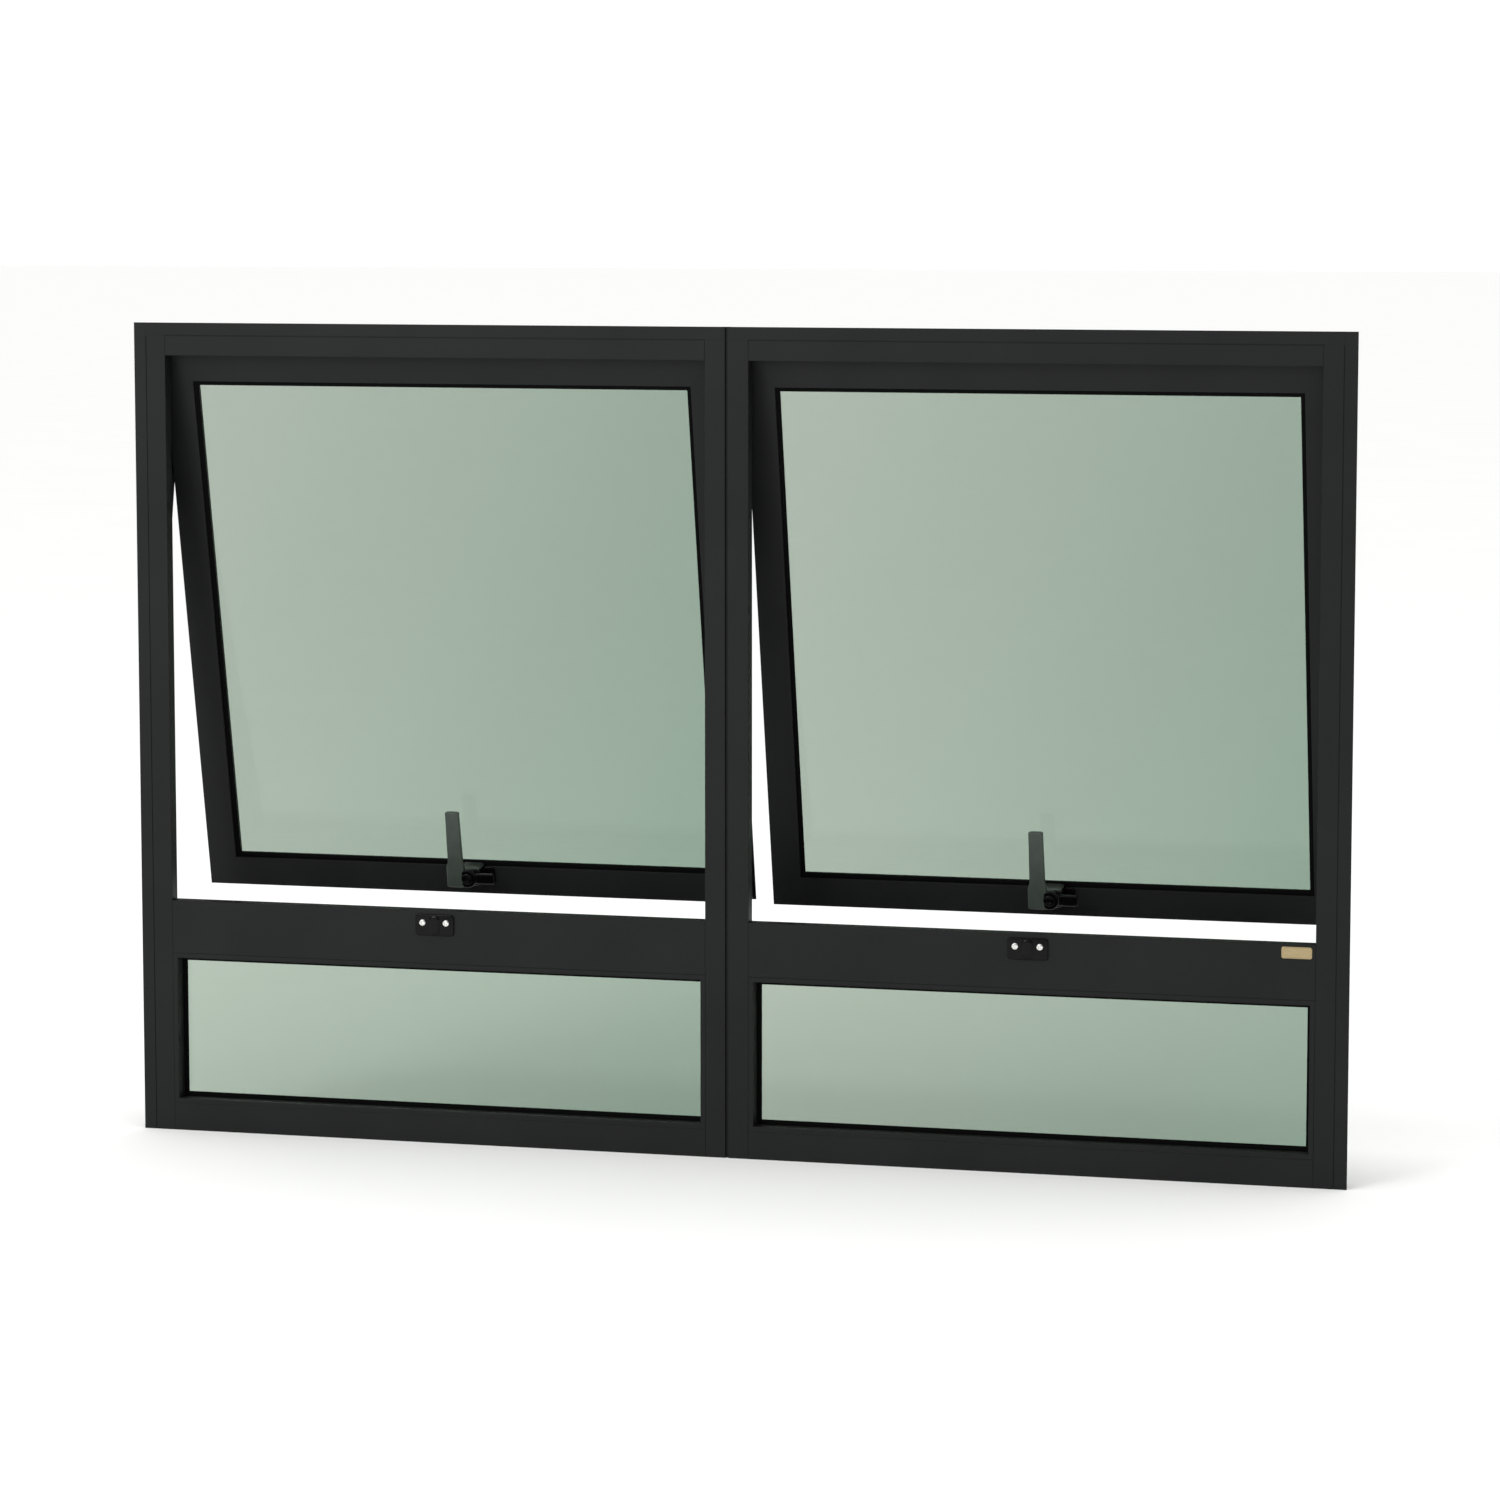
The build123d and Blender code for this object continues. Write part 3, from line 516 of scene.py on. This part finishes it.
def gloss_black(name, scale):
    """Gloss black paint on a zinc die casting: a deep mirror over the casting's slight waves."""
    material, tree, surface = blank(name)
    place = add(tree, "TexCoord").outputs["Object"]
    wave = add(tree, "TexNoise", {"Vector": place, "Scale": 1 / scale, "Detail": 2.0})
    gloss = add(tree, "MapRange", {"Value": wave.outputs["Fac"], "To Min": 0.16, "To Max": 0.3})
    tone = add(tree, "MixRGB", {
        "Fac": wave.outputs["Fac"], "Color1": linear("#030303"), "Color2": linear("#070707"),
    })
    relief = add(tree, "Bump", {"Height": wave.outputs["Fac"], "Strength": 0.25, "Distance": 0.15 * mm})
    paint = add(tree, "BsdfPrincipled", {
        "Base Color": tone.outputs["Color"], "Roughness": gloss.outputs["Result"],
        "Specular IOR Level": 0.15, "Normal": relief.outputs["Normal"],
    })
    tree.links.new(paint.outputs["BSDF"], surface)
    return material


def outline(low, high, radius):
    """A rectangle in X and Z with round corners: a quarter circle about each inner corner."""
    turn = np.linspace(0, np.pi / 2, 8)
    middle = (np.array(low) + high) / 2
    reach = (np.array(high) - low) / 2 - radius
    turns = [turn + k * np.pi / 2 for k in range(4)]
    quarters = [np.stack([np.cos(turn), np.sin(turn)], -1) for turn in turns]
    signs = np.array([(1, 1), (-1, 1), (-1, -1), (1, -1)])
    return np.concatenate([
        middle + reach * sign + radius * arc for sign, arc in zip(signs, quarters)
    ])


def eased(back, face, radius):
    """Steps (inset, depth) from the back edge to the face: straight, then a quarter circle."""
    turn = np.linspace(0, np.pi / 2, 5)
    towards = math.copysign(radius, face - back)
    arc = np.stack([radius * (1 - np.cos(turn)), face - towards * (1 - np.sin(turn))], -1)
    return np.concatenate([[(0, back)], arc])


def plate(edge, steps):
    """A flat piece: its outline drawn in along its own normals by the first number of each
    step, at the depth given by the second."""
    ahead = np.roll(edge, -1, 0) - np.roll(edge, 1, 0)
    normal = np.stack([ahead[:, 1], -ahead[:, 0]], -1) / np.linalg.norm(ahead, axis=1, keepdims=True)
    inset, depth = np.transpose(steps)[:, :, None]
    x, z = np.moveaxis(edge[None] - inset[..., None] * normal[None], -1, 0)
    return np.stack([x, np.broadcast_to(depth, x.shape), z], -1)


plate_corner = 4 * mm
plate_easing = 0.9 * mm
pad_height = 1.5 * mm
pad_width = 14 * mm
pad_corner = 6 * mm
pad_root = 0.5 * mm              # how far the pad starts inside the plate
casting_wave = 4 * mm
shells = []
for module in (-1, 1):
    low, high = extent("strike_plates", module=module)
    face = low[1] + pad_height
    edge = outline(low[[0, 2]], high[[0, 2]], plate_corner)
    shells.append((plate(edge, eased(high[1], face, plate_easing)), False, True))
    middle = (low[0] + high[0]) / 2
    rise = np.linspace(0, np.pi / 2, 7)
    crown = np.stack([0.35 * pad_width * (1 - np.cos(rise)), face - pad_height * np.sin(rise)], -1)
    pad_low, pad_high = (middle - pad_width / 2, low[2] + mm), (middle + pad_width / 2, high[2] - mm)
    steps = np.concatenate([[(0, face + pad_root)], crown])
    shells.append((plate(outline(pad_low, pad_high, pad_corner), steps), False, True))
casting_black = gloss_black("gloss black casting", casting_wave)
make("strike_castings", shells, casting_black, "frame", ["strike_plates"])


# Handle bases: gloss black castings screwed through the bottom rail of each sash, with a
# pedestal that carries the lever out past the transom, and the bolt the lever turns on.

base_plate_depth = 3 * mm
base_plate_height = 24 * mm
base_corner = 5 * mm
base_easing = 1 * mm
pedestal_width = 30 * mm
pedestal_height = 22 * mm
pedestal_corner = 6 * mm
pedestal_waist = 1.2 * mm        # how far its sides draw in halfway out
pedestal_crown = 2 * mm
pedestal_easing = 1.6 * mm
bolt_radius = 7 * mm
bolt_crown = 1.4 * mm
bolt_shank = 4 * mm
bolt_length = 19 * mm
handle_screw_side = 21 * mm
handle_screw_crown = 1.2 * mm
for side in ("left_", "right_"):
    pivot = tilt @ next(joint["pos_m"] for joint in frame["joints"] if joint["name"] == side + "handle")
    low, high = extent(side + "handle_base", tilt)
    plate_high = low[2] + base_plate_height
    edge = outline((low[0], low[2]), (high[0], plate_high), base_corner)
    foot = plate(edge, eased(high[1], high[1] - base_plate_depth, base_easing))
    reach = np.array([pedestal_width, pedestal_height]) / 2
    along = np.linspace(0, 1, 9)
    root, top = high[1] - mm, low[1] + pedestal_crown
    sides = np.stack([pedestal_waist * np.sin(np.pi * along), root + (top - root) * along], -1)
    crown = eased(top, low[1], pedestal_easing)[1:]
    edge = outline(pivot[[0, 2]] - reach, pivot[[0, 2]] + reach, pedestal_corner)
    column = plate(edge, np.concatenate([sides, crown]))
    make(
        side + "handle_casting", [(foot, False, True), (column, False, True)], casting_black, side + "sash",
        [side + "handle_base"], axes=tilt
    )
    bolt_front = extent(side + "handle_fixings", tilt)[0]
    bolt = screw(bolt_radius, bolt_crown, bolt_shank, bolt_length, hexagon) @ indoors
    bolt = bolt + (pivot[0], bolt_front[1] + bolt_crown, pivot[2])
    make(
        side + "handle_bolt", [(bolt, False, True)], casting_black, side + "sash",
        [side + "handle_fixings"], axes=tilt
    )
    pieces = []
    for flank in (-1, 1):
        x = pivot[0] + flank * handle_screw_side
        place = (x, high[1] - base_plate_depth, bolt_front[2] + pan_radius)
        head = screw(pan_radius, handle_screw_crown, shank_radius, screw_length, cross)
        pieces.append((head @ indoors + place, False, True))
    make(
        side + "handle_screws", pieces, steel, side + "sash",
        [side + "handle_fixings"], axes=tilt
    )


# Levers: a flat arm on a broader root, cast in zinc and painted a grey-green satin, pressed on
# a gloss black cam whose round hub turns on the bolt and whose tongue locks behind the strike.

def lever_paint():
    """Grey-green satin paint on a die casting: soft gloss on a fine sand-like skin."""
    material, tree, surface = blank("grey-green satin casting paint")
    place = add(tree, "TexCoord").outputs["Object"]
    skin = add(tree, "TexNoise", {"Vector": place, "Scale": 1 / (0.9 * mm), "Detail": 3.0})
    cloud = add(tree, "TexNoise", {"Vector": place, "Scale": 1 / (14 * mm), "Detail": 2.0})
    tone = add(tree, "MixRGB", {
        "Fac": cloud.outputs["Fac"], "Color1": linear("#2f3731"), "Color2": linear("#3e4740"),
    })
    gloss = add(tree, "MapRange", {"Value": cloud.outputs["Fac"], "To Min": 0.34, "To Max": 0.5})
    relief = add(tree, "Bump", {"Height": skin.outputs["Fac"], "Strength": 0.3, "Distance": 0.06 * mm})
    paint = add(tree, "BsdfPrincipled", {
        "Base Color": tone.outputs["Color"], "Roughness": gloss.outputs["Result"],
        "Specular IOR Level": 0.4, "Normal": relief.outputs["Normal"],
    })
    tree.links.new(paint.outputs["BSDF"], surface)
    return material


def bar(along, half_width, half_depth, middle, power):
    """A bar along the first axis: at each station a superellipse of the given power, with its
    own half width, half depth and middle."""
    angle = np.linspace(0, 2 * np.pi, 40, endpoint=False)
    c = np.sign(np.cos(angle)) * np.abs(np.cos(angle)) ** (2 / power)
    s = np.sign(np.sin(angle)) * np.abs(np.sin(angle)) ** (2 / power)
    across = middle[:, :1] + half_width[:, None] * c
    depth = middle[:, 1:] + half_depth[:, None] * s
    return np.stack([np.broadcast_to(along[:, None], across.shape), across, depth], -1)


def smooth_step(value, start, end):
    """Nought before start, one after end, and 3t^2 - 2t^3 between."""
    t = np.clip((value - start) / (end - start), 0, 1)
    return t * t * (3 - 2 * t)


def ends_rounded(count, length, radius):
    """Stations along a bar and a factor for its section, which closes at both ends like a
    superellipse whose depth is the radius."""
    share = (1 - np.cos(np.linspace(0, np.pi, count))) / 2
    along = length * share
    near = np.clip(np.minimum(along, length - along) / radius, 0, 1)
    return along, (1 - (1 - near) ** 3) ** (1 / 3)


lever_green = lever_paint()
voxel = 0.6 * mm
tail = 12 * mm                   # lever below its pivot
arm_left, arm_width = -23.5 * mm, 19 * mm
root_left, root_width = -26 * mm, 23 * mm
neck, shoulder = 14 * mm, 22 * mm
arm_easing = 2.4 * mm
arm_taper = 1.2 * mm             # lost from the arm's width towards its tip
thinning = 0.14                  # share of the arm's thickness lost towards its tip
hub_radius = 12 * mm
hub_bevel = 0.6 * mm
hub_inset = 0.1 * mm             # how far the hub's face lies behind the arm's
tongue_half, tongue_thick = 7 * mm, 4.5 * mm
tongue_inside = 6 * mm           # length of the tongue within the hub
tongue_easing = 3 * mm
for side in ("left_", "right_"):
    pivot = tilt @ next(joint["pos_m"] for joint in frame["joints"] if joint["name"] == side + "handle")
    low, high = extent(side + "lever", tilt)
    back, front = high[1] - pivot[1], low[1] - pivot[1]
    along, close = ends_rounded(80, high[2] - low[2], arm_easing)
    height = along - tail
    narrow = smooth_step(height, neck, shoulder)
    slim = smooth_step(height, shoulder, high[2] - pivot[2])
    half = (root_width * (1 - narrow) + (arm_width - arm_taper * slim) * narrow) / 2
    middle = (root_left + root_width / 2) * (1 - narrow) + (arm_left + arm_width / 2) * narrow
    thick = (back - front) / 2 * (1 - thinning * slim)
    centre = np.stack([middle, back - thick], -1)
    arm = bar(height, half * close, thick * close, centre, 6)[..., [1, 2, 0]]
    make(
        side + "lever_arm", [(arm + pivot, False, True)], lever_green, side + "lever",
        [side + "lever"], axes=tilt, sharp=60
    )
    along, close = ends_rounded(40, high[0] - pivot[0] + tongue_inside, tongue_easing)
    centre = np.stack([np.zeros_like(along), np.full_like(along, back - tongue_thick / 2)], -1)
    tongue = bar(along - tongue_inside, tongue_half * close, tongue_thick / 2 * close, centre, 5)
    tongue = tongue[..., [0, 2, 1]]
    turn = np.linspace(0, 2 * np.pi, 64, endpoint=False)
    radius, depth = np.transpose([
        (0, back), (hub_radius - hub_bevel, back), (hub_radius, back - hub_bevel),
        (hub_radius, front + 1.4 * mm), (hub_radius - 0.5 * mm, front + 0.5 * mm),
        (hub_radius - 1.6 * mm, front + hub_inset), (0, front + hub_inset),
    ])[:, :, None]
    hub = np.stack([radius * np.cos(turn), depth + 0 * turn, radius * np.sin(turn)], -1)
    cam = make(
        side + "lever_cam", [(tongue + pivot, False, True), (hub + pivot, False, True)], casting_black,
        side + "lever", [side + "lever"], axes=tilt
    )
    fuse = cam.modifiers.new("fuse", "REMESH")
    fuse.mode = "VOXEL"
    fuse.voxel_size = voxel
    fuse.use_smooth_shade = True
    soften = cam.modifiers.new("soften", "SMOOTH")
    soften.factor = 0.5
    soften.iterations = 6


# Badge: a small brushed brass plate glued on the right transom, blank inside a raised border.

def brushed_brass():
    """Brushed and lacquered brass: warm metal, drawn out along the length of the plate."""
    material, tree, surface = blank("brushed lacquered brass")
    place = add(tree, "TexCoord").outputs["Object"]
    drawn = add(tree, "Mapping", {
        "Vector": place, "Scale": (1 / (9 * mm), 1 / (0.35 * mm), 1 / (0.35 * mm)),
    })
    lines = add(tree, "TexNoise", {"Vector": drawn.outputs["Vector"], "Scale": 1.0, "Detail": 3.0})
    tone = add(tree, "MixRGB", {
        "Fac": lines.outputs["Fac"], "Color1": linear("#8f7d58"), "Color2": linear("#cdbb95"),
    })
    gloss = add(tree, "MapRange", {"Value": lines.outputs["Fac"], "To Min": 0.28, "To Max": 0.46})
    relief = add(tree, "Bump", {"Height": lines.outputs["Fac"], "Strength": 0.2, "Distance": 0.03 * mm})
    metal = add(tree, "BsdfPrincipled", {
        "Base Color": tone.outputs["Color"], "Metallic": 1.0, "Roughness": gloss.outputs["Result"],
        "Normal": relief.outputs["Normal"],
    })
    tree.links.new(metal.outputs["BSDF"], surface)
    return material


low, high = extent("badge")
border, engraved = 1.3 * mm, 0.3 * mm
badge_corner = 2.6 * mm
steps = np.array([
    (0, high[1]), (0, low[1] + 0.25 * mm), (0.1 * mm, low[1] + 0.08 * mm), (0.25 * mm, low[1]),
    (border, low[1]), (border + 0.2 * mm, low[1] + engraved), (border + 1.2 * mm, low[1] + engraved),
])
badge = plate(outline(low[[0, 2]], high[[0, 2]], badge_corner), steps)
make("blank_badge", [(badge, False, True)], brushed_brass(), "frame", ["badge"])


# Friction stays: stainless steel arms and bars, pressed from strip, and folded tracks, all
# under a thin black coat, on riveted pivots. A black nylon shoe slides and grips in each track.

def coated_steel():
    """Black coat on pressed stainless steel: even satin, thin enough to show the rolling."""
    material, tree, surface = blank("black coated stainless steel")
    place = add(tree, "TexCoord").outputs["Object"]
    drawn = add(tree, "Mapping", {"Vector": place, "Scale": (1 / mm, 1 / mm, 1 / (30 * mm))})
    lines = add(tree, "TexNoise", {"Vector": drawn.outputs["Vector"], "Scale": 1.0, "Detail": 2.0})
    tone = add(tree, "MixRGB", {
        "Fac": lines.outputs["Fac"], "Color1": linear("#0e0e0f"), "Color2": linear("#161617"),
    })
    gloss = add(tree, "MapRange", {"Value": lines.outputs["Fac"], "To Min": 0.34, "To Max": 0.48})
    relief = add(tree, "Bump", {"Height": lines.outputs["Fac"], "Strength": 0.2, "Distance": 0.03 * mm})
    coat = add(tree, "BsdfPrincipled", {
        "Base Color": tone.outputs["Color"], "Roughness": gloss.outputs["Result"],
        "Specular IOR Level": 0.35, "Normal": relief.outputs["Normal"],
    })
    tree.links.new(coat.outputs["BSDF"], surface)
    return material


stay_black = coated_steel()
arm_radius = 9 * mm
arm_thickness = 2.2 * mm
arm_edge = 0.5 * mm
arm_flat = 0.01 * mm             # keeps the two half circles of an end from meeting in a point
finish_node("stay_tracks", stay_black)
for side in ("left_", "right_"):
    finish_node(side + "stay_bars", stay_black)
    joint_at = {joint["name"]: np.array(joint["pos_m"]) for joint in frame["joints"]}
    fixed, mid = joint_at[side + "vent_opening"][1:], joint_at[side + "sash_pivot"][1:]
    along = (mid - fixed) / np.linalg.norm(mid - fixed)
    turned = np.array([(0, along[1], -along[0]), (1, 0, 0), (0, along[0], along[1])])
    start = turned @ (0, *fixed)
    low, high = extent(side + "stay_arms")
    arms = []
    arm_length = np.linalg.norm(mid - fixed)
    edge = outline(
        (start[0] - arm_radius, start[2] - arm_radius),
        (start[0] + arm_radius, start[2] + arm_length + arm_radius), arm_radius - arm_flat
    )
    for face, back in ((low[0], low[0] + arm_thickness), (high[0], high[0] - arm_thickness)):
        half = (face + back) / 2
        front_steps = eased(half, face, arm_edge)
        back_steps = eased(half, back, arm_edge)[:0:-1]
        arms.append((plate(edge, np.concatenate([back_steps, front_steps[1:]])), False, True))
    make(
        side + "pressed_arms", arms, stay_black, side + "stay_arms",
        [side + "stay_arms"], axes=turned
    )


def turned_pin(steps, place, towards):
    """A turned pin along X: a profile (radius, distance) revolved about its own line."""
    angle = np.linspace(0, 2 * np.pi, 32, endpoint=False)
    radius, distance = np.transpose(steps)[:, :, None]
    x = place[0] + towards * distance + 0 * angle
    return np.stack([x, place[1] + radius * np.cos(angle), place[2] + radius * np.sin(angle)], -1)


def domed(radius, start, height):
    """Profile of a rivet head: a quarter ellipse from its rim to the pole."""
    turn = np.linspace(0, np.pi / 2, 6)
    return np.stack([radius * np.cos(turn), start + height * np.sin(turn)], -1)


collar_radius, collar_length = 5.4 * mm, 4.8 * mm
rivet_radius, rivet_length = 3 * mm, 8.4 * mm
rivet_head_radius, rivet_head = 4.6 * mm, 0.8 * mm
head_start = rivet_length - rivet_head
steps = np.concatenate([
    [(0, 0), (collar_radius, 0), (collar_radius, collar_length)],
    [(rivet_radius, collar_length), (rivet_radius, head_start)],
    domed(rivet_head_radius, head_start, rivet_head),
])
rivets = []
for module in (-1, 1):
    low, high = extent("track_pivots", module=module)
    place = ((low[1] + high[1]) / 2, (low[2] + high[2]) / 2)
    for x, towards in ((low[0], 1), (high[0], -1)):
        rivets.append((turned_pin(steps, (x, *place), towards), False, True))
make("track_rivets", rivets, steel, "frame", ["track_pivots"])


# Hidden fixings: cast corner keys crimped in the sash corners, nylon blocks under the panes,
# stainless screws through the webs, and nylon hoods over the drain slots.

def black_nylon():
    """Glass-filled nylon from a spark-eroded mould: deep grey-black with a fine dull grain."""
    material, tree, surface = blank("moulded black nylon")
    place = add(tree, "TexCoord").outputs["Object"]
    spark = add(tree, "TexVoronoi", {"Vector": place, "Scale": 1 / (0.7 * mm)})
    dull = add(tree, "MapRange", {"Value": spark.outputs["Distance"], "To Min": 0.45, "To Max": 0.62})
    tone = add(tree, "MixRGB", {
        "Fac": spark.outputs["Distance"], "Color1": linear("#121212"), "Color2": linear("#1a1a1a"),
    })
    relief = add(tree, "Bump", {
        "Height": spark.outputs["Distance"], "Strength": 0.25, "Distance": 0.05 * mm,
    })
    skin = add(tree, "BsdfPrincipled", {
        "Base Color": tone.outputs["Color"], "Roughness": dull.outputs["Result"],
        "Specular IOR Level": 0.4, "Normal": relief.outputs["Normal"],
    })
    tree.links.new(skin.outputs["BSDF"], surface)
    return material


def mill_aluminium():
    """Bare die-cast aluminium: pale grey metal with a dull mottled skin."""
    material, tree, surface = blank("bare cast aluminium")
    place = add(tree, "TexCoord").outputs["Object"]
    skin = add(tree, "TexNoise", {"Vector": place, "Scale": 1 / (2 * mm), "Detail": 4.0})
    tone = add(tree, "MixRGB", {
        "Fac": skin.outputs["Fac"], "Color1": linear("#a9abad"), "Color2": linear("#c4c6c8"),
    })
    dull = add(tree, "MapRange", {"Value": skin.outputs["Fac"], "To Min": 0.38, "To Max": 0.55})
    relief = add(tree, "Bump", {"Height": skin.outputs["Fac"], "Strength": 0.3, "Distance": 0.05 * mm})
    metal = add(tree, "BsdfPrincipled", {
        "Base Color": tone.outputs["Color"], "Metallic": 1.0, "Roughness": dull.outputs["Result"],
        "Normal": relief.outputs["Normal"],
    })
    tree.links.new(metal.outputs["BSDF"], surface)
    return material


nylon = black_nylon()
cast = mill_aluminium()
for node in ("setting_blocks", "weep_caps"):
    finish_node(node, nylon)
for node in ("assembly_screws", "coupling_screws", "track_screws"):
    finish_node(node, steel)
for side in ("left_", "right_"):
    finish_node(side + "sash_corner_keys", cast)
    finish_node(side + "sash_setting_blocks", nylon)
    finish_node(side + "stay_shoes", nylon)
    finish_node(side + "stay_pins", steel)
